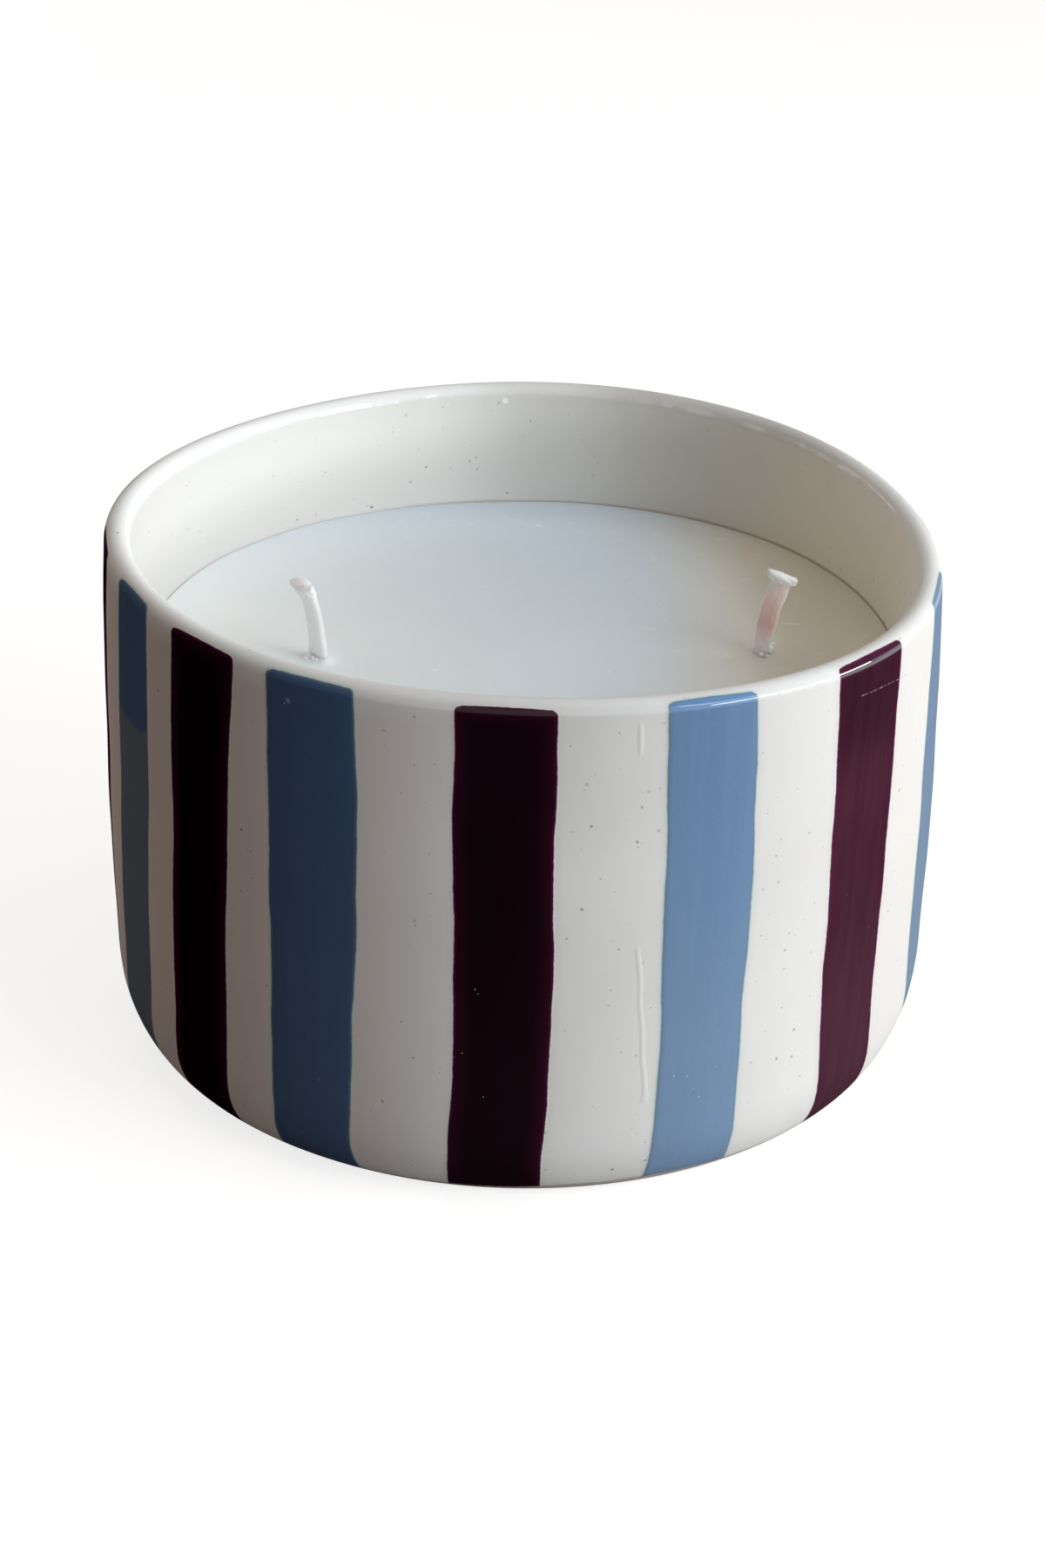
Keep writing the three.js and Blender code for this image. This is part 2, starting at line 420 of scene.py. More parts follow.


# How far each point lies outside the nearest stripe of one colour, in millimetres; less than zero
# is inside. A stripe is a box with round corners on the unrolled side: across is the distance from
# its middle line, a parabola through its three places, and down is the distance along the section
# from the crown of the rim. Each edge adds four sine waves of its own. Also returns how pale the
# nearest stripe is, a value that is partly painted light and shade.
def stripeDistance(angle, radius, height, down, parity):
    s = stripes
    nearest = np.full(angle.shape, 1e3)
    pale = np.ones(angle.shape)
    begin = bowl["rimThickness"] / 2 * radians(s["startAngle"])
    u = np.clip((height - s["midHeight"]) / s["halfSpan"], -1.35, 1.1)
    for number in range(parity, len(s["laid"]), 2):
        middle, topShift, footShift, topWidth, footWidth, nearer, paleAndLitLevel = s["laid"][number]
        random = np.random.default_rng(40 + number)
        lengths = random.uniform(0.8, 1.3, 4) * np.array(s["waveLengths"])
        sizes = s["wobble"] * np.array(s["waveShares"])
        phases = random.uniform(0, 2 * np.pi, (2, 4))
        early, late = random.uniform(-0.35, 0.45, 2)
        turned = (angle - radians(middle) + np.pi) % (2 * np.pi) - np.pi
        shift = topShift * u * (u + 1) / 2 + footShift * u * (u - 1) / 2
        across = turned * radius - shift
        half = (topWidth + footWidth + (topWidth - footWidth) * u) / 4
        waves = 2 * np.pi * height[..., None] / lengths
        left, right = [(sizes * np.sin(waves + phase)).sum(-1) for phase in phases]
        beside = np.maximum(across - half - right, -across - half - left)
        bow = 0.35 * (across / half) ** 2
        starts = begin + early - nearer
        beyond = np.maximum(starts + bow - down, s["endHeight"] + late + bow - height)
        p = np.maximum(beside + s["corner"], 0)
        q = np.maximum(beyond + s["corner"], 0)
        inside = np.minimum(np.maximum(beside, beyond) + s["corner"], 0)
        distance = np.hypot(p, q) + inside - s["corner"]
        pale = np.where(distance < nearest, paleAndLitLevel, pale)
        nearest = np.minimum(nearest, distance)
    return nearest, pale


# Its layers: how far a point lies outside the aubergine, the blue and the bare clay, how pale its
# stripe is, partly painted light and shade, and how far down from the crown it is, less than 0
# inside.
def addBowl():
    section = bowlSection()
    r, z, angle = turnedGrid(section, bowl["columns"])
    radius, height = handMade(r, z, angle)
    steps = np.linalg.norm(np.diff(section, axis=0), axis=1)
    length = np.concatenate([[0], np.cumsum(steps)])
    down = (length[np.argmax(section[:, 1])] - length)[:, None] + 0 * r
    overLine = z - bowl["glazeLine"] - waveSum(bowlWaves["glazeLine"], angle)
    insideRing = bowl["footRadius"] - bowl["footRing"] - 0.6 - r
    plumEdge, plumPaleAndLit = stripeDistance(angle, r, z, down, 0)
    blueEdge, bluePaleAndLit = stripeDistance(angle, r, z, down, 1)
    layers = {
        "plumEdge": [plumEdge],
        "blueEdge": [blueEdge],
        "pale": [np.where(plumEdge < blueEdge, plumPaleAndLit, bluePaleAndLit)],
        "bareEdge": [np.where(z < 8, np.maximum(overLine, insideRing), 9.0)],
        "down": [np.clip(down, -15, 15)],
    }
    grid = fromRound(radius, angle, height) * mm
    return addSurfaces("stripedBowl", [grid[None]], layers)


# Runs and beads where the clear glaze set as it flowed: angle round the bowl in degrees at the lower
# end, how far the upper end lies round from it, lowest and highest point and half width, in
# millimetres. A hairline has its two angles, its two heights and its half width.
glazeRuns = (
    (-72.8, -2.0, 21.0, 52.0, 0.22),
    (-72.9, 0.2, 20.0, 22.4, 0.42),
    (-75.5, 0.0, 86.0, 93.0, 0.22),
    (-28.0, 0.6, 70.0, 88.0, 0.25),
    (-24.3, 0.0, 79.6, 82.2, 0.34),
    (-121.0, -0.3, 89.3, 90.6, 0.2),
    (64.0, -1.2, 40.0, 72.0, 0.35),
    (150.0, 0.9, 22.0, 60.0, 0.3),
)
glazeHairlines = (
    (-44.2, -38.6, 88.9, 88.4, 0.16),
    (-38.6, -32.4, 88.4, 87.3, 0.12),
)

# Specks that stand out: angle in degrees, height and radius in millimetres and how strong they are.
# The inner ones are on the wall above the wax; the last of them, beside the first bead, is the
# bead's painted shadow. The beads just inside the rim at the back are white spots without relief:
# painted highlights on them.
darkMarks = (
    (-81.2, 74.2, 0.34, 0.8), (-75.4, 70.9, 0.32, 0.8), (-75.3, 70.0, 0.22, 0.5),
    (-77.2, 51.2, 0.3, 0.6), (-75.0, 77.1, 0.32, 0.6), (-72.8, 80.2, 0.26, 0.5),
    (-81.9, 81.7, 0.45, 0.35), (-83.5, 73.3, 0.24, 0.45), (-76.4, 6.2, 0.42, 0.8),
    (-76.3, 31.0, 0.26, 0.4), (-100.8, 84.0, 0.24, 0.5), (-102.8, 54.7, 0.26, 0.6),
    (-127.9, 64.2, 0.34, 0.8), (-128.1, 59.7, 0.22, 0.5), (-128.0, 52.6, 0.3, 0.8),
    (-147.4, 42.2, 0.3, 0.6), (112.0, 60.0, 0.36, 0.7), (31.0, 70.0, 0.3, 0.6),
)
innerSpecksAndShadow = (
    (107.4, 80.2, 0.32, 0.7), (99.9, 80.7, 0.28, 0.6), (98.8, 81.4, 0.28, 0.5),
    (98.6, 79.0, 0.28, 0.5), (110.2, 77.5, 0.3, 0.6), (93.5, 73.9, 0.36, 0.6),
    (117.2, 73.4, 0.4, 0.9), (125.5, 82.4, 0.24, 0.5), (131.4, 74.3, 0.34, 0.6),
    (9.7, 73.4, 0.4, 0.9), (16.9, 78.4, 0.3, 0.5), (95.1, 92.2, 0.4, 0.4),
)
whiteMarks = (
    (-95.1, 43.8, 0.15, 0.7), (-94.7, 43.0, 0.12, 0.5), (-96.6, 31.3, 0.15, 0.7),
    (-97.6, 30.4, 0.11, 0.5), (-93.8, 22.9, 0.13, 0.6), (-68.9, 24.6, 0.22, 0.6),
    (-67.0, 24.0, 0.24, 0.5), (-65.0, 19.1, 0.26, 0.6), (-65.9, 21.2, 0.15, 0.5),
    (-121.6, 89.6, 0.17, 0.7),
)
innerBeadHighlights = ((94.0, 92.6, 0.8, 0.9), (103.5, 92.3, 0.34, 0.5))

# Glaze colours. A pair is mixed by a pattern. The inner wall goes from its first colour through
# the others, each between two places along X in millimetres: painted light and shade, whiter on
# the left, darker in the middle and warm on the right.
glaze = {
    "cream": ((0.8, 0.784, 0.76), (0.856, 0.846, 0.83)),
    # Painted shade on the outer cream: on the right, and warm on the left.
    "creamShadedRight": (0.785, 0.762, 0.722),
    "creamShadedLeft": (0.728, 0.626, 0.59),
    "inner": (0.75, 0.742, 0.72),
    "innerLightAndShade": (
        ((0.845, 0.838, 0.795), -70, -30),
        ((0.68, 0.67, 0.64), -22, 5),
        ((0.62, 0.598, 0.54), 6, 26),
        ((0.935, 0.885, 0.755), 28, 62),
    ),
    "innerCloud": (0.78, 0.765, 0.73),
    # Painted light and shade on the crown: cool from above, light on the left, shade at the back right.
    "crown": (0.765, 0.785, 0.8),
    "crownLitLeft": (0.92, 0.94, 0.955),
    "crownShadedRight": (0.56, 0.555, 0.535),
    "iron": (0.24, 0.2, 0.15),
    # Painted shade at the edge of the wax.
    "waxEdgeShade": (0.44, 0.32, 0.2),
    "halo": (0.5, 0.62, 0.56),
    "thickBlue": (0.0, 0.003, 0.055),
    "thinBlue": ((0.206, 0.346, 0.56), (0.222, 0.374, 0.592)),
    "thickPlum": (0.001, 0.0003, 0.0008),
    # The thin aubergine also holds a painted sheen.
    "thinPlumAndSheen": ((0.06, 0.017, 0.03), (0.084, 0.024, 0.044)),
    "clay": ((0.52, 0.45, 0.42), (0.68, 0.61, 0.58)),
    "secondCoatAngle": -153.2,
    "secondCoatEnd": 71.0,
    "waxEdgeShadeHeight": 72.55,
}


# Dots round places on the bowl, from the distance to each.
def markMask(place, marks, inside):
    section = bowlSection()
    crown = np.argmax(section[:, 1])
    half = section[crown:][::-1] if inside else section[: crown + 1]
    level = half[half[:, 1] > (9 if inside else 1)]
    total = 0.0
    for degrees, height, size, strength in marks:
        angle = radians(degrees)
        radius, up = handMade(np.interp(height, level[:, 1], level[:, 0]), height, angle)
        centre = fromRound(radius, angle, up) * mm
        settings = {"operation": "DISTANCE"}
        far = place.node("ShaderNodeVectorMath", settings, {0: place, 1: centre}, out=1)
        dot = smooth(far, size * mm, size * mm * 0.45) * strength
        total = dot.maths("MAXIMUM", total, dot)
    return total


# Where a point lies from an upright line on the outside at a given angle: how far round from it,
# and 1 on the outside of the bowl.
def besideLine(axes, angle):
    x, y, z = axes
    turn = radians(angle)
    across = y * cos(turn) - x * sin(turn)
    out = x * cos(turn) + y * sin(turn)
    return across, smooth(out, 0.93 * bowl["rimRadius"], 0.96 * bowl["rimRadius"])


# A ridge along a nearly upright line that wanders as a sine of the height.
def runMask(axes, angle, lean, low, high, half):
    across, outside = besideLine(axes, angle)
    height = axes[2]
    slope = radians(lean) * bowl["rimRadius"] / (high - low)
    wander = height.maths("SINE", height / 1.7) * 0.1
    far = abs(across - (height - low) * slope - wander)
    soft = min(2.0, (high - low) / 3)
    ends = smooth(height, low, low + soft) * smooth(height, high, high - soft)
    return smooth(far, half + 0.45, half - 0.2) * ends * outside


# A hairline across the side, from one angle and height to another.
def hairlineMask(axes, first, last, firstHeight, lastHeight, half):
    across, outside = besideLine(axes, (first + last) / 2)
    reach = radians(last - first) / 2 * bowl["rimRadius"]
    slope = (lastHeight - firstHeight) / (2 * reach)
    far = abs(axes[2] - (across * slope + (firstHeight + lastHeight) / 2))
    within = smooth(abs(across), reach, reach - 0.4)
    return smooth(far, half, half * 0.4) * within * outside


# Cream ground with iron specks, which are returned too. Outside, painted shade makes it darker on
# the right and darker and warm on the left. Inside, painted light and shade make it whiter on the
# left, darker in the middle and warm on the right. The crown of the rim has its own tones: painted
# cool light from above, painted light on the left and painted shade at the back on the right.
def creamGround(place, axes, down, inside, cloud):
    x, y, z = axes
    crown = abs(down)
    outer = blend(smooth(cloud, 0.25, 0.75), *glaze["cream"])
    # Painted shade: darker on the right, and darker and warm on the left.
    outer = shade(outer, glaze["creamShadedRight"], x, 42, 66, 0.8)
    outer = shade(outer, glaze["creamShadedLeft"], x, 14, -62, smooth(down, 3.0, 7.0) * 0.95)
    # Painted light and shade along X on the inner wall.
    inner = glaze["inner"]
    for towards, low, high in glaze["innerLightAndShade"]:
        inner = shade(inner, towards, x, low, high)
    inner = blend(cloud * 0.3, inner, glaze["innerCloud"])
    cream = blend(inside, outer, inner)
    # Painted light and shade on the crown: cooler from above, lighter on the left and at the back on
    # the left, darker at the back on the right.
    cream = shade(cream, glaze["crown"], crown, 3.4, 1.8, 0.7)
    litLeftCrown = smooth(crown, 4.2, 2.6) * smooth(x, -38, -70)
    litLeftBack = smooth(crown, 3.4, 1.8) * smooth(y, 15, 45) * smooth(x, 0, -20)
    cream = blend(place.maths("MAXIMUM", litLeftCrown, litLeftBack), cream, glaze["crownLitLeft"])
    shadedRightBack = smooth(y, 30, 54) * smooth(x, 3, 25)
    cream = shade(cream, glaze["crownShadedRight"], crown, 4.2, 1.8, shadedRightBack * 0.85)

    dark = specks(place, 2.5, 0.42, 0.4)
    tiny = specks(place, 1.3, 0.18, 0.32)
    cream = blend(dark * (0.75 - inside * 0.4), cream, glaze["iron"])
    cream = blend(tiny * 0.65, cream, (0.36, 0.3, 0.22))
    # Iron specks, and the painted shadow beside the first bead.
    ironMarksAndShadow = markMask(place, darkMarks, False)
    ironMarksAndShadow = place.maths("MAXIMUM", ironMarksAndShadow, markMask(place, innerSpecksAndShadow, True))
    cream = blend(ironMarksAndShadow * 0.85, cream, (0.22, 0.19, 0.15))

    # Painted shade: a thin brown line on the wall at the edge of the wax, most of all at the back on
    # the right.
    edgeShade = smooth(x + y * 0.75, 5.0, 60.0) * 0.4 + 0.03
    cream = shade(cream, glaze["waxEdgeShade"], abs(z - glaze["waxEdgeShadeHeight"]), 0.45, 0.1, edgeShade * inside)
    return cream, dark + tiny


# Blue, from nearly black where it is thick, also painted shade on the shaded left stripes, to pale
# where it is thin, also painted light on the lit right. It fades at its edges and towards the foot.
# Its top band gets painted light from above, and it is greyer at the right-hand outline, painted
# shade.
def blueStripe(axes, edge, pale, evenAndLit, tone, mottle, shoulderSkyLight):
    x, y, z = axes
    thin = blend(smooth(tone, 0.36, 0.64), *glaze["thinBlue"])
    blue = blend(pale / 1.5, glaze["thickBlue"], thin)
    blue = shade(blue, (0.42, 0.5, 0.6), z, 88, 8, evenAndLit * 0.25)
    # Painted light from above on the top band.
    blue = blend(shoulderSkyLight * evenAndLit, blue, (0.14, 0.29, 0.56))
    blue = shade(blue, (0.16, 0.25, 0.27), edge, -0.6, -0.05, 0.55)
    blue = shade(blue, (0.26, 0.36, 0.5), mottle, 0.56, 0.74, evenAndLit * 0.35)
    # Painted shade: greyer and darker at the right-hand outline.
    blue = shade(blue, (0.22, 0.28, 0.35), x, 64, 73, 0.5)

    # The last blue stripe on the left had a second coat, which stops part of the way down.
    across, outside = besideLine(axes, glaze["secondCoatAngle"])
    near = smooth(abs(across), 13, 11) * outside
    curve = across.maths("POWER", abs(across) / 7.5, 4.0)
    below = z - glaze["secondCoatEnd"] - curve * 2.5
    return shade(blue, (0.165, 0.2, 0.225), below, 1.0, -1.0, near * 0.75)


# Aubergine, nearly black where it is thick, also painted shade on the shaded left stripes, and
# lighter where it is thin, with a painted sheen on the lit right. It fades at its edges and reddens
# towards them. Its top band gets a painted reflection of light from above.
def plumStripe(z, edge, evenAndLit, tone, brushed, shoulderSkyLight):
    thin = blend(smooth(tone, 0.34, 0.68), *glaze["thinPlumAndSheen"])
    plum = blend(evenAndLit, glaze["thickPlum"], thin)
    # Painted reflection of light from above on the top band.
    plum = blend(shoulderSkyLight * (evenAndLit * 0.5 + 0.1), plum, (0.095, 0.04, 0.07))
    plum = shade(plum, (0.006, 0.001, 0.003), brushed, 0.42, 0.6, 0.3)
    plum = shade(plum, (0.01, 0.002, 0.006), z, 70, 87, 0.42)
    plum = shade(plum, (0.2, 0.12, 0.15), z, 62, 10, evenAndLit * 0.1)
    plum = shade(plum, (0.085, 0.006, 0.038), edge, -3.4, -0.3, 0.22)
    return shade(plum, (0.15, 0.018, 0.07), edge, -0.6, -0.05, evenAndLit * 0.5 + 0.3)


def makeGlaze():
    material, shader, place = startMaterial("stripedGlaze")
    axes = objectAxes(place)
    x, y, z = axes
    fine = noise(place, 900, 2) - 0.5
    edgeShift = (noise(place, 60, 2) - 0.5) * 0.25 + fine * 0.2
    streakPlace = stretched(place, (1, 1, 0.04))
    streaks = noise(streakPlace, 620, 4, 0.6)
    tone = streaks * 0.5 + noise(streakPlace, 170, 2) * 0.5
    cloud = noise(place, 26, 3)
    mottle = noise(place, 1500, 3, 0.6)
    down = attribute(place, "down")
    inside = smooth(down, 0.5, -2.0)
    crown = abs(down)
    # The top band where the rim turns down, which the stripes colour with painted light from above.
    shoulderSkyLight = smooth(crown, 3.9, 2.9)
    # How pale the nearest stripe is: partly painted light and shade, dark on the left, pale on the
    # right.
    pale = attribute(place, "pale")
    evenAndLit = (pale - 0.3) / 1.2

    # The clear glaze beside a stripe takes a green tinge.
    cream, dots = creamGround(place, axes, down, inside, cloud)
    blueEdge = attribute(place, "blueEdge") + edgeShift
    plumEdge = attribute(place, "plumEdge") + edgeShift
    nearEdge = place.maths("MINIMUM", blueEdge, plumEdge)
    cream = shade(cream, (0.66, 0.7, 0.66), nearEdge, 1.7, 0.2, 0.3)
    cream = shade(cream, glaze["halo"], blueEdge, 0.46, 0.1, 0.6)
    blue = blueStripe(axes, blueEdge, pale, evenAndLit, tone, mottle, shoulderSkyLight)
    plum = plumStripe(z, plumEdge, evenAndLit, tone, streaks * 0.7 + cloud * 0.3, shoulderSkyLight)
    blueMask = smooth(blueEdge, 0.08, -0.08)
    plumMask = smooth(plumEdge, 0.08, -0.08)
    colour = blend(plumMask, blend(blueMask, cream, blue), plum)
    painted = place.maths("MAXIMUM", blueMask, plumMask)

    # Dust in the glaze, scuffs low down on the blue, white specks, the painted highlights of the beads,
    # and runs and hairlines; the runs are also painted paler, a painted highlight on their ridges.
    dust = specks(place, 1.7, 0.13, 0.16)
    scuffs = specks(place, 3.1, 0.42, 0.45) * smooth(z, 46, 12)
    colour = blend(dust * painted * (evenAndLit * 0.5 + 0.02), colour, (0.55, 0.53, 0.52))
    colour = blend(scuffs * blueMask * evenAndLit, colour, (0.62, 0.68, 0.74))
    colour = blend(markMask(place, whiteMarks, False), colour, (0.66, 0.68, 0.72))
    # Painted highlights: white spots for the beads, which have no relief.
    colour = blend(markMask(place, innerBeadHighlights, True), colour, (0.95, 0.95, 0.94))
    ridgesAndHighlight = sum(runMask(axes, *run) for run in glazeRuns)
    lines = sum(hairlineMask(axes, *hairline) for hairline in glazeHairlines)
    beaded = smooth(noise(place, 1300, 2), 0.42, 0.58)
    # Painted highlight: the runs and beads are paler.
    colour = blend(ridgesAndHighlight * 0.2, colour, (0.9, 0.885, 0.86))
    colour = blend(lines * (beaded * 0.75 + 0.1) * 0.6, colour, (0.5, 0.42, 0.45))

    # The foot and a millimetre or two above it are bare clay, with a darker line round them.
    bareShift = attribute(place, "bareEdge") + fine * 0.5
    bare = smooth(bareShift, 0.12, -0.12)
    clay = blend(noise(place, 700, 4), *glaze["clay"])
    colour = shade(colour, (0.33, 0.25, 0.24), abs(bareShift - 0.15), 0.4, 0.1, 0.5)
    gloss = 0.06 + noise(place, 260, 3) * 0.08 + painted * (streaks * 0.06)

    # The clear glaze is glassiest where the rim turns down: in patches on its inside at the back, in
    # one band outside from the front to the right, and most on the palest stripes.
    insideBand = smooth(crown, 1.9, 2.3) * smooth(crown, 3.3, 3.0)
    outsideBand = smooth(crown, 2.3, 2.55) * smooth(crown, 3.4, 3.1)
    patches = smooth(noise(place, 190, 2), 0.46, 0.58)
    behind = smooth(y, 8, 34) * (patches * 0.9 + 0.1)
    before = smooth(x, -46, 4)
    turnDown = inside * behind * insideBand + (1 - inside) * before * outsideBand
    onRim = turnDown * ((1 - painted) * 0.9 + painted * (evenAndLit * 1.2 + 0.05))

    relief = noise(place, 170, 2) * 0.05 + noise(place, 45, 2) * 0.1
    relief += smooth(crown, 3.2, 2.0) * noise(place, 700, 3) * 0.05
    relief += smooth(nearEdge, 0.5, -0.9) * 0.09 + painted * streaks * 0.02 - dots * 0.06
    relief += ridgesAndHighlight * 0.08 - bare * 0.1
    relief += bare * noise(place, 1600, 3) * 0.12
    feed(shader, {
        "Base Color": blend(bare, colour, clay),
        "Roughness": gloss * (1 - bare) + bare * 0.85,
        "Coat Weight": (0.03 * (1 - painted) + onRim) * (1 - bare),
        "Coat Roughness": 0.025,
        "Coat IOR": 1.8,
        "Specular IOR Level": 0.0,
        "Normal": bump(relief, 0.8, mm),
    })
    return material


bowlPiece = addBowl()
bowlPiece.data.materials.append(makeGlaze())
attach(bowlPiece, "root")
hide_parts("ceramic_bowl")
print("bowl finished")


# Wicks stand where the frame has them; the foot of each is the middle of its sustainer.
def wickFoot(side):
    low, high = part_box(side + "_wick_sustainer")
    return (low + high) / 2 / mm


# Each stub: its height, where it leaves the wax beside its foot, its bends to the side (size, and
# the power that it grows by), a kink (height, size), the turn of its flat side in degrees, its
# section, how the cut end flares (from and to a share of the stub, and how much in width and in
# depth) and slants, and its colours.
wicks = {
    "left": {
        "stub": 14.5,
        "begin": -0.38,
        "bends": ((-2.35, 2.1), (-0.55, 9.0)),
        "kink": (9.0, 0.0),
        "turn": -48,
        "width": 3.5,
        "squareness": 3.2,
        "widths": ((0.0, 1.0), (0.04, 1.3), (0.15, 1.3), (0.3, 1.16), (0.6, 1.1), (0.9, 1.08)),
        "strandRelief": 0.06,
        "flare": (0.82, 0.9, 1.14, 1.5),
        "dome": 1.0,
        "slant": 0.42,
        "seed": 3,
        "tints": (
            (0.0, (0.95, 0.95, 0.97)),
            (0.25, (0.97, 0.97, 1.0)),
            (0.8, (0.97, 0.97, 1.0)),
            (0.9, (0.93, 0.96, 1.0)),
        ),
    },
    "right": {
        "stub": 15.3,
        "begin": -0.38,
        "bends": ((1.8, 1.0), (1.2, 2.0)),
        "kink": (10.9, 0.3),
        "turn": -8,
        "width": 3.62,
        "squareness": 2.7,
        "widths": ((0.0, 0.78), (0.12, 0.76), (0.25, 0.88), (0.4, 1.0), (0.9, 1.02)),
        "strandRelief": 0.095,
        "flare": (0.928, 0.948, 1.52, 1.5),
        "dome": 0.6,
        "slant": 0.05,
        "seed": 8,
        "tints": (
            (0.0, (0.92, 0.89, 0.92)),
            (0.18, (0.88, 0.82, 0.84)),
            (0.4, (0.79, 0.56, 0.54)),
            (0.62, (0.83, 0.65, 0.62)),
            (0.9, (0.9, 0.79, 0.76)),
            (0.94, (0.94, 0.96, 1.0)),
        ),
    },
}

# Wax: flat, with a slow roll, a rise against the wall and a collar round each wick. A mark is its
# place, radius and height, below zero for a pit, and a pale scratch its middle, length and half
# width, all in millimetres.
wax = {
    "height": 72.0,
    "bottom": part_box("wax_fill")[0].z / mm,
    "wallGap": 0.1,
    "rise": 0.45,
    "riseWidth": 1.1,
    "collars": {"left": 0.8, "right": 0.25},
    "collarWidth": 0.8,
    "rings": 150,
    "columns": 360,
    "marks": (
        (-15.2, -12.2, 0.5, -0.3), (-16.1, -12.1, 0.55, 0.25), (-35.5, -9.7, 0.9, 0.6),
        (8.0, 22.0, 5.0, 0.06), (-20.0, 10.0, 8.0, -0.05), (26.0, -18.0, 7.0, 0.05),
    ),
    "scratches": ((49.4, 12.0, 4.4, 0.35), (2.4, 56.5, 1.4, 0.45), (-16.2, -12.1, 1.1, 0.3)),
    "milky": ((0.845, 0.905, 0.93), (0.87, 0.925, 0.945)),
}


# Height of the wax at a point, in millimetres: the level, three slow waves, a rise that falls off
# with the distance to the wall, a collar that falls off with the distance to each wick, and marks.
def waxSurface(x, y, toWall):
    z = wax["height"] + 0.05 * np.sin(x / 9.0 + 0.6) * np.cos(y / 11.0) + 0.04 * np.sin((x + y) / 5.5)
    z = z + wax["rise"] * np.exp(-np.maximum(toWall, 0) / wax["riseWidth"])
    for side, w in wicks.items():
        foot = wickFoot(side)
        angle = radians(w["turn"])
        beside = x - foot.x - w["begin"]
        across = beside * cos(angle) + (y - foot.y) * sin(angle)
        through = (y - foot.y) * cos(angle) - beside * sin(angle)
        away = np.hypot(np.maximum(np.abs(across) - 1.0, 0), through)
        z = z + wax["collars"][side] * np.exp(-np.maximum(away - 0.75, 0) / wax["collarWidth"])
        z = z - 0.18 * np.exp(-((away - 4.0) / 2.6) ** 2)
    for markX, markY, size, lift in wax["marks"]:
        z = z + lift * np.exp(-((x - markX) ** 2 + (y - markY) ** 2) / size**2)
    return z


# The underside and the wall follow the bowl's inside a gap away. The top is a set of rings from the
# wall to the middle, closer together near the wall.
def addWax():
    b = bowl
    gap = wax["wallGap"]
    corner = b["innerRadius"] - b["innerCorner"]
    cornerHeight = b["floor"] + b["innerCorner"]
    edge = b["innerRadius"] - gap
    under = straight((1.5, wax["bottom"]), (corner, wax["bottom"]), 10)
    turn = ellipse((corner, cornerHeight), (b["innerCorner"] - gap, b["innerCorner"] - 0.3), -85, 0, 10)
    wall = straight((edge, cornerHeight + 3), (edge, wax["height"] - 2), 16)
    r, z, angle = turnedGrid(np.vstack([under, turn, wall]), wax["columns"])
    lowRadius, lowHeight = handMade(r, z, angle)
    edgeRadius, _ = handMade(edge, wax["height"], angle[:1])
    t = np.linspace(0, 1, wax["rings"])[:-1]
    share = np.concatenate([[0.0], np.cumsum(0.25 + t)])
    topRadius = (1 - share / share[-1] * 0.998)[:, None] * edgeRadius
    x, y, _ = np.moveaxis(fromRound(topRadius, angle[:1], 0 * topRadius), -1, 0)
    topHeight = waxSurface(x, y, edgeRadius - topRadius)
    radius = np.vstack([lowRadius, topRadius])
    grid = fromRound(radius, angle[:1] + 0 * radius, np.vstack([lowHeight, topHeight])) * mm
    return addSurfaces("pouredWax", [grid[None]])


def makeWax():
    material, shader, place = startMaterial("pouredWax")
    x, y, z = objectAxes(place)
    cloud = noise(place, 30, 4)
    frost = noise(place, 420, 5, 0.65)
    colour = blend(smooth(cloud, 0.3, 0.7), *wax["milky"])
    # Painted shade: darker and bluer towards the right and at the back on the right, and warm shade on
    # the right.
    colour = shade(colour, (0.7, 0.795, 0.88), x, -55, 34)
    colour = shade(colour, (0.55, 0.66, 0.78), y + x * 0.5, -20, 60, 0.6)
    colour = shade(colour, (0.745, 0.715, 0.635), x, 12, 52)
    colour = shade(colour, (0.84, 0.87, 0.87), frost, 0.55, 0.75, 0.35)
    for markX, markY, length, half in wax["scratches"]:
        far = abs(y - markY + (x - markX) * 0.12)
        within = smooth(abs(x - markX), length / 2, length / 3)
        colour = shade(colour, (0.93, 0.95, 0.96), far, half, half * 0.4, within * 0.6)
    feed(shader, {
        "Base Color": colour,
        "Roughness": 0.4 + frost * 0.14,
        "Normal": bump(cloud * 0.08 + frost * 0.03, 0.6, mm),
        "Subsurface Weight": 0.35,
        "Subsurface Radius": (1.0, 0.9, 0.8),
        "Subsurface Scale": 2.2 * mm,
        "Specular IOR Level": 0.35,
    })
    return material


waxPiece = addWax()
waxPiece.data.materials.append(makeWax())
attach(waxPiece, "root")
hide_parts("wax_fill")
print("wax finished")


# Wick: a flat plait, soaked in wax. Sizes in millimetres.
braid = {
    "depth": 1.55,
    "pitch": 1.9,
    "slope": 0.9,
    "yarnRelief": 0.028,
    "yarns": 5,
    "rows": 300,
    "columns": 72,
    "capRows": 12,
    "knob": 0.11,
    "tuft": 0.17,
    "fibres": 90,
    "fibreLength": 0.75,
    "fibreRadius": 0.032,
}


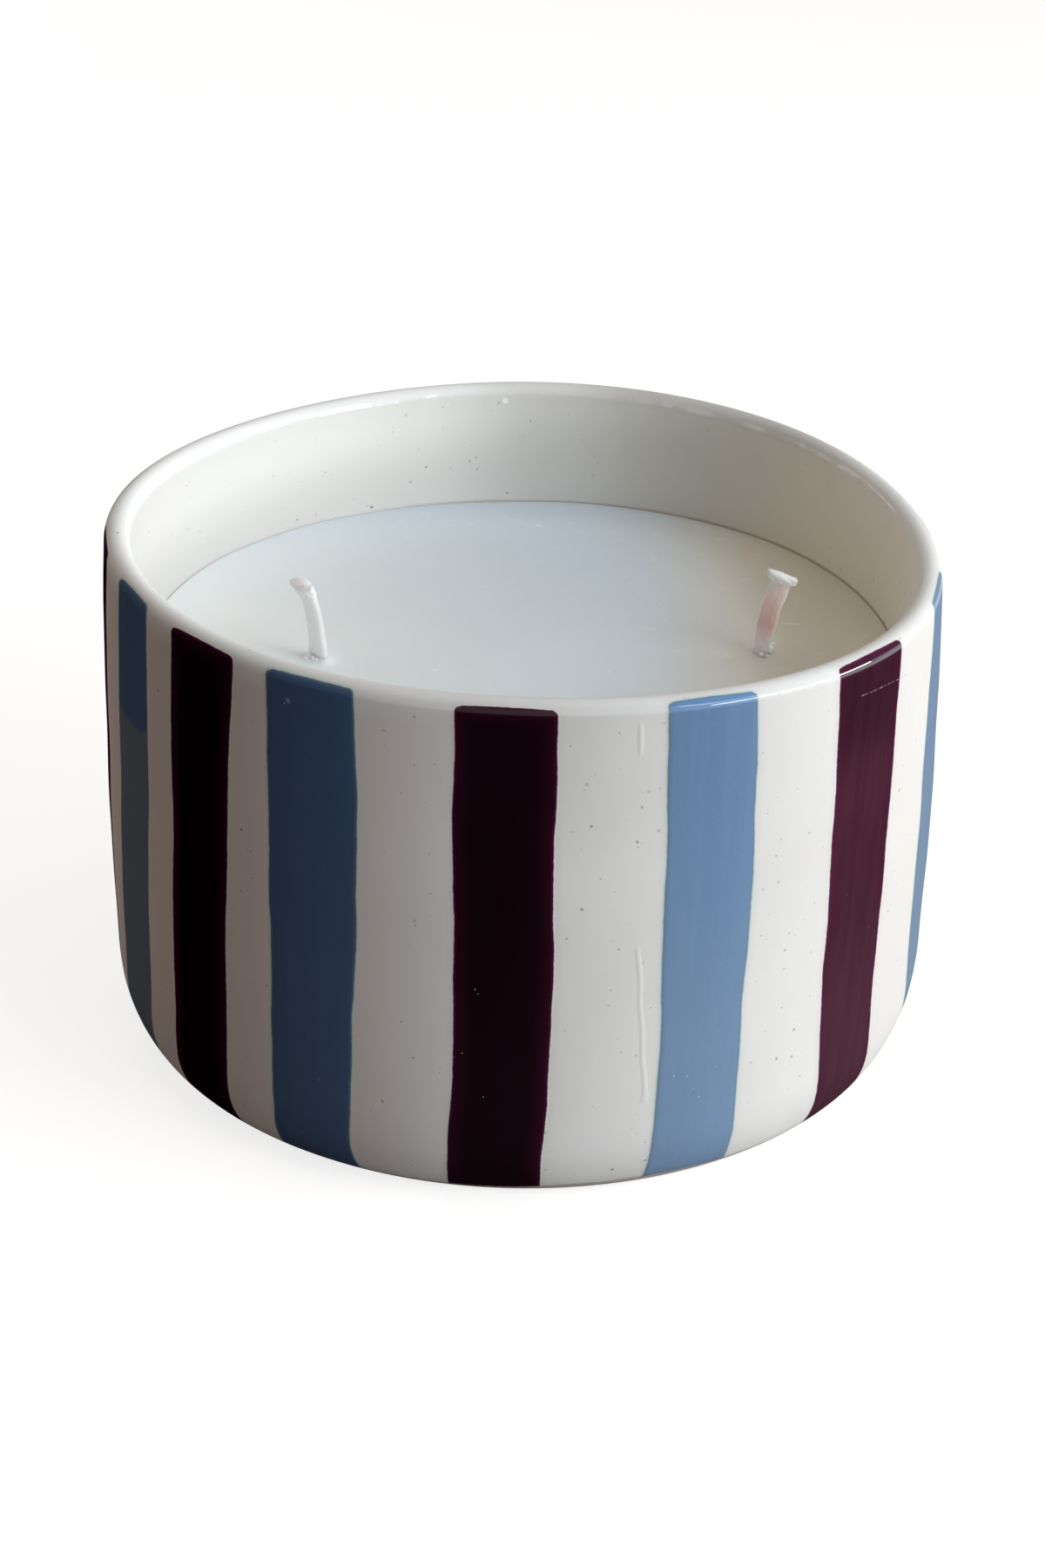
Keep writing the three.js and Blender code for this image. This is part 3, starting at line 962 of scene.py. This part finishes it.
# The middle line rises straight to just under the wax and moves over to where it leaves it. Above,
# at a share t of the stub, it moves sideways by the sum of size * t to the power of each bend, and
# a tanh step makes the kink. Returns it with its own three directions, and t.
def wickLine(side, heights):
    w = wicks[side]
    foot = wickFoot(side)
    above = heights - wax["height"]
    t = np.clip(above / w["stub"], 0, 1)
    under = np.clip((above + 8) / 8, 0, 1)
    shift = w["begin"] * under**2 * (3 - 2 * under)
    shift = shift + sum(size * t**power for size, power in w["bends"])
    shift = shift + w["kink"][1] * (1 + np.tanh((above - w["kink"][0]) / 0.5)) / 2
    line = np.stack([foot.x + shift, np.full_like(t, foot.y), heights], axis=-1)
    along = np.gradient(line, heights, axis=0)
    along /= np.linalg.norm(along, axis=-1, keepdims=True)
    angle = radians(w["turn"])
    facing = np.array((-sin(angle), cos(angle), 0.0))
    through = facing - (along @ facing)[:, None] * along
    through /= np.linalg.norm(through, axis=-1, keepdims=True)
    return line, np.cross(through, along), through, along, t


# Strands run in a chevron on each face: phase = height / pitch + slope * |across| in front and
# minus it behind, half a turn apart left and right, so that a strand passes round the edge
# unbroken. The relief is the root of |sin(pi * phase)|, with yarns as finer cosines.
def braidRelief(height, x, front, depth):
    b = braid
    tilt = b["slope"] * np.where(front, np.abs(x), 2 - np.abs(x))
    phase = height / b["pitch"] + tilt + np.where(x > 0, 0.5, 0.0)
    groove = np.sqrt(np.clip(np.abs(x) / 0.16, 0, 1))
    strand = np.sqrt(np.abs(np.sin(np.pi * phase))) * groove - 0.7
    return depth * strand + b["yarnRelief"] * np.cos(2 * np.pi * b["yarns"] * phase)


# Loose fibres start round the cut end and bend outwards, along start + reach * (aim * s + bend * s
# squared), with s from 0 to 1. A little of each is inside the wick. Each ring of such a thin tube is
# the circle radius * (cos a * side + sin a * rise) about its path point.
def looseFibres(random, grid, middle, lastRow):
    count = braid["fibres"]
    row = lastRow + random.integers(-9, 4, count)
    column = random.integers(0, braid["columns"], count)
    begin = grid[row, column]
    out = begin - middle
    out /= np.linalg.norm(out, axis=1, keepdims=True)
    aim = out * random.uniform(0.3, 1.0, (count, 1)) + random.normal(size=(count, 3)) * 0.45
    aim[:, 2] += 0.55
    aim /= np.linalg.norm(aim, axis=1, keepdims=True)
    bend = random.normal(size=(count, 3)) * 0.35
    s = np.linspace(0, 1, 6)[None, :, None]
    reach = random.uniform(0.3, 1.0, count)[:, None, None] * braid["fibreLength"]
    paths = begin[:, None, :] + reach * (aim[:, None, :] * (s - 0.15) + bend[:, None, :] * s**2)
    along = np.gradient(paths, axis=1)
    along /= np.linalg.norm(along, axis=2, keepdims=True)
    side = np.cross(along, (0.31, 0.95, 0.1))
    side /= np.linalg.norm(side, axis=2, keepdims=True)
    rise = np.cross(side, along)
    a = np.linspace(0, 2 * np.pi, 5, endpoint=False)[:, None]
    ring = np.cos(a) * side[:, :, None, :] + np.sin(a) * rise[:, :, None, :]
    radius = braid["fibreRadius"] * (1 - 0.6 * s)
    return paths[:, :, None, :] + radius[..., None] * ring


# The section is a superellipse: across = sign(cos a) |cos a| ^ (2 / squareness), and depth alike
# with the sine. At the cut end it flares, and the last section shrinks as cos q while it rises as
# sin q, with tufts.
def addWick(side):
    w = wicks[side]
    b = braid
    level = wax["height"] - 1
    top = wax["height"] + w["stub"]
    buried = np.linspace(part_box(side + "_wick")[0].z / mm, level, 60)
    heights = np.concatenate([buried, np.linspace(level + 0.06, top, b["rows"])])
    *lines, t = wickLine(side, heights)
    random = np.random.default_rng(w["seed"])
    q = np.linspace(0, np.pi / 2, b["capRows"] + 1)[1:] * 0.96
    shrink = np.concatenate([np.ones(len(heights)), np.cos(q)])[:, None]
    lift = np.concatenate([np.zeros(len(heights)), w["dome"] * np.sin(q)])[:, None]
    more = ((0, len(q)), (0, 0))
    line, across, through, along = [np.pad(v, more, mode="edge")[:, None, :] for v in lines]
    t = np.concatenate([t, np.ones(len(q))])[:, None]
    z = np.concatenate([heights, top + w["dome"] * np.sin(q)])[:, None]

    a = np.linspace(0, 2 * np.pi, b["columns"], endpoint=False)[None, :]
    flareStart, flareEnd, flare, deepFlare = w["flare"]
    spread = np.clip((t - flareStart) / (flareEnd - flareStart), 0, 1)
    spread = spread * spread * (3 - 2 * spread)
    power = 2 / (w["squareness"] + (2.2 - w["squareness"]) * spread)
    x = np.sign(np.cos(a)) * np.abs(np.cos(a)) ** power
    y = np.sign(np.sin(a)) * np.abs(np.sin(a)) ** power
    wide = np.interp(t, *np.array(w["widths"]).T)
    free = np.clip((z - level) / 0.8, 0, 1)
    relief = braidRelief(z, x, y < 0, w["strandRelief"]) * free * (1 - 0.6 * spread)
    lobes = random.uniform(0, 2 * np.pi, 4)
    tuft = sum(np.sin((3 + 2 * k) * a + lobes[k] + (4 + k) * z) for k in range(4)) / 4
    tuft = b["tuft"] * tuft * spread
    halfWidth = w["width"] / 2 * wide * (1 + (flare - 1) * spread) * shrink
    halfDepth = b["depth"] / 2 * (1 + (deepFlare - 1) * spread) * shrink
    u = x * (halfWidth + (relief + tuft) * shrink)
    v = y * (halfDepth + (relief + tuft) * shrink)
    sag = lift - w["slant"] * u * t**5 + 0.35 * tuft
    sag = sag + b["knob"] * (flare - 1) * spread * (u**2 - halfWidth**2 / 2) * shrink
    grid = line + u[..., None] * across + v[..., None] * through + sag[..., None] * along
    fibres = looseFibres(random, grid, line[-1], len(heights) - 1)
    layers = {
        "rise": [t[None], np.ones((1, 1, 1))],
        "fringe": [(np.abs(np.cos(a)) ** 3)[None], np.ones((1, 1, 1))],
    }
    return addSurfaces(side + "Wick", [grid[None] * mm, fibres * mm], layers)


# Tinted along the stub, with paler edges and a bluer cut end.
def makeCotton(side):
    material, shader, place = startMaterial(side + "Cotton")
    fuzz = noise(place, 2600, 4, 0.6)
    patch = noise(place, 420, 2)
    rise = attribute(place, "rise")
    tinted = rise + (patch - 0.5) * 0.16 + (fuzz - 0.5) * 0.05
    colour = tinted.node("ShaderNodeValToRGB", {"stops": wicks[side]["tints"]}, {0: tinted})
    colour = shade(colour, (0.92, 0.9, 0.94), fuzz, 0.5, 0.8, 0.3)
    fringe = attribute(place, "fringe") + (patch - 0.5) * 0.5
    colour = shade(colour, (0.92, 0.91, 1.0), fringe, 0.35, 0.9, 0.6)
    cut = smooth(noise(place, 1500, 2), 0.56, 0.66) * 0.35
    colour = shade(colour, (0.62, 0.66, 0.86), rise, 0.93, 0.96, cut)
    feed(shader, {
        "Base Color": colour,
        "Roughness": 0.42 + fuzz * 0.3,
        "Normal": bump(fuzz, 0.5, 0.08 * mm),
        "Specular IOR Level": 0.35,
        "Subsurface Weight": 1.0,
        "Subsurface Radius": (1.0, 1.0, 1.0),
        "Subsurface Scale": 2.0 * mm,
    })
    return material


for side in wicks:
    piece = addWick(side)
    piece.data.materials.append(makeCotton(side))
    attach(piece, "root")
    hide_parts(side + "_wick")
print("wicks finished")


# Crumbs of wax left beside the wicks: place and size in millimetres.
crumbs = (
    (-38.6, -8.0, 72.45, 0.5), (-37.9, -8.9, 72.4, 0.46), (-37.2, -9.7, 72.35, 0.4),
    (-39.2, -8.8, 72.25, 0.34), (44.7, -1.3, 72.8, 0.9), (45.2, -0.8, 73.5, 0.6),
    (43.15, -2.9, 72.4, 0.5), (43.9, -3.1, 72.25, 0.32),
)


# Each crumb is a lumpy ball: radius = size * (1 + 0.22 sin(2 a + p) sin(3 b + q)), with b from
# pole to pole and a round it, a little flattened.
def addCrumbs():
    random = np.random.default_rng(5)
    a = np.linspace(0, 2 * np.pi, 14, endpoint=False)[None, None, :]
    b = np.linspace(0.12, np.pi - 0.12, 9)[None, :, None]
    p, q = random.uniform(0, 2 * np.pi, (2, len(crumbs), 1, 1))
    table = np.array(crumbs)
    size = table[:, 3][:, None, None] * (1 + 0.22 * np.sin(2 * a + p) * np.sin(3 * b + q))
    grid = fromRound(size * np.sin(b), a, size * np.cos(b) * 0.8) + table[:, None, None, :3]
    made = addSurfaces("waxCrumbs", [grid * mm])
    material, shader, place = startMaterial("waxCrumb")
    grain = noise(place, 900, 3)
    feed(shader, {
        "Base Color": blend(grain, (0.9, 0.9, 0.92), (0.96, 0.95, 0.98)),
        "Roughness": 0.4 + grain * 0.2,
    })
    made.data.materials.append(material)
    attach(made, "root")


addCrumbs()
print("crumbs placed")


# Sustainers and pads keep their CAD shapes and get their finishes.
def makeTin():
    material, shader, place = startMaterial("tinnedSteel")
    rolled = noise(stretched(place, (1, 0.05, 1)), 2400, 3)
    smear = noise(place, 160, 3)
    feed(shader, {
        "Base Color": blend(smear, (0.56, 0.57, 0.59), (0.7, 0.71, 0.72)),
        "Roughness": 0.22 + rolled * 0.2,
        "Normal": bump(rolled, 0.2, 0.05 * mm),
        "Metallic": 1.0,
    })
    return material


def makeFoam():
    material, shader, place = startMaterial("adhesiveFoam")
    cells = noise(place, 3200, 3, 0.7)
    feed(shader, {
        "Base Color": blend(cells, (0.74, 0.73, 0.7), (0.84, 0.83, 0.81)),
        "Roughness": 0.7 + cells * 0.2,
        "Normal": bump(cells, 0.5, 0.1 * mm),
    })
    return material


def dressNode(name, material):
    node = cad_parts[name]
    if not node.material_slots:
        node.data.materials.append(material)
    for held in node.material_slots:
        held.material = material


tin = makeTin()
foam = makeFoam()
for side in wicks:
    dressNode(side + "_wick_sustainer", tin)
    dressNode(side + "_wick_sticker", foam)
print("hidden pieces dressed")


# Floor, world and lamps: daylight from a wide window on the right, seen low down and as sky above,
# a pale ceiling, a little warm light from the room on the left and a weak cool lamp behind. The
# floor lies a little under the foot, so that the two never meet.
studio = {
    "floorSize": 3.0,
    "floorLevel": -0.05 * mm,
    "floorPaint": (0.42, 0.41, 0.4),
    "floorWhite": (0.8, 0.8, 0.8),
    "fill": (0.004, 0.003, 0.003),
    "distance": 1.3,
    "aimHeight": 0.05,
    # Name, degrees round from +X, degrees up, width, height, watts, colour.
    "lamps": (
        ("ceiling", 90, 84, 1.2, 1.2, 5.2, (1.0, 0.91, 0.78)),
        ("lowWindow", -12, 8, 0.86, 0.11, 5.3, (1.0, 0.98, 0.95)),
        ("lowSky", -42, 8, 0.47, 0.11, 2.1, (0.9, 0.99, 1.08)),
        ("leftSky", -47, 31, 0.55, 0.5, 3.3, (0.97, 1.0, 1.03)),
        ("middleSky", -25, 31, 0.55, 0.5, 5.5, (0.97, 1.0, 1.03)),
        ("rightSky", 1, 31, 0.55, 0.5, 1.7, (0.97, 1.0, 1.03)),
        ("highSky", 25, 46, 0.45, 0.45, 1.2, (0.97, 1.0, 1.03)),
        ("roomLeft", 174, 18, 0.9, 0.6, 1.25, (1.0, 0.68, 0.52)),
        ("roomBack", 126, 12, 0.8, 0.4, 2.2, (0.93, 0.98, 1.08)),
    ),
}


def addLamp(name, turn, rise, width, height, power, tint):
    turn = radians(turn)
    rise = radians(rise)
    place = Vector(fromRound(cos(rise), turn, sin(rise)))
    data = bpy.data.lights.new(name, "AREA")
    data.shape = "RECTANGLE"
    data.size = width
    data.size_y = height
    data.energy = power
    data.color = tint
    made = addObject(name, data)
    made.location = place * studio["distance"] + Vector((0, 0, studio["aimHeight"]))
    made.rotation_euler = (-place).to_track_quat("-Z", "Y").to_euler()


# 1 for what the camera sees, also in a reflection or through glass, and 0 for lighting.
def seenDirectly(start):
    seen, glossy, through = [start.node("ShaderNodeLightPath", {}, out=k) for k in (0, 3, 6)]
    return seen.maths("MINIMUM", seen + glossy + through, 1.0)


def addFloor():
    half = studio["floorSize"] / 2
    level = studio["floorLevel"]
    corners = [(-half, -half, level), (half, -half, level), (half, half, level), (-half, half, level)]
    mesh = bpy.data.meshes.new("floor")
    mesh.from_pydata(corners, [], [(0, 1, 2, 3)])
    material, shader, place = startMaterial("floorPaint")
    feed(shader, {
        "Emission Color": blend(seenDirectly(place), (0, 0, 0), studio["floorWhite"]),
        "Emission Strength": 1.0,
        "Base Color": studio["floorPaint"],
        "Roughness": 0.9,
        "Specular IOR Level": 0.0,
    })
    mesh.materials.append(material)
    addObject("floor", mesh)


def setWorld():
    world = bpy.data.worlds.new("studio")
    bpy.context.scene.world = world
    world.use_nodes = True
    tree = world.node_tree
    background = next(n for n in tree.nodes if n.type == "BACKGROUND")
    start = Wire(tree, background.outputs[0])
    feed(background, {"Color": blend(seenDirectly(start), studio["fill"], (1, 1, 1))})


addFloor()
setWorld()
for lamp in studio["lamps"]:
    addLamp(*lamp)
bpy.context.scene.view_settings.view_transform = "Standard"
print("studio lit")
